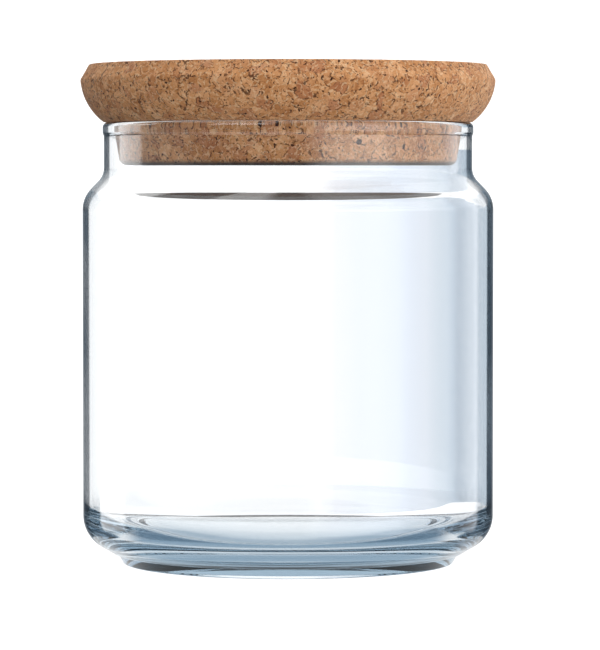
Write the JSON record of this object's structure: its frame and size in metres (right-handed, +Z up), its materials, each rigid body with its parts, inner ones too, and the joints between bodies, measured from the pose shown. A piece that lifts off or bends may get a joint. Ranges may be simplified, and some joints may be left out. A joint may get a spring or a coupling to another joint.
{
  "type": "storage jar",
  "caption": "Round clear glass storage jar with a stepped shoulder, a short neck and a push-in cork lid that lifts off.",
  "frame": {"origin": "centre of the foot ring's lower face, on the surface that the jar stands on", "axes": "+Z up along the jar's axis; the jar is round, so X and Y are any two level directions"},
  "size_m": [0.104, 0.104, 0.125],
  "materials": {
    "clear_glass": "gloss",
    "cork": "matte"
  },
  "bodies": {
    "jar": {"glass_jar": "clear_glass"},
    "lid": {"cork_lid": "cork"}
  },
  "joints": [
    {"name": "lid_lift", "type": "slide", "parent": "jar", "child": "lid", "axis": [0, 0, 1], "range_m": [0, 0.11]}
  ]
}
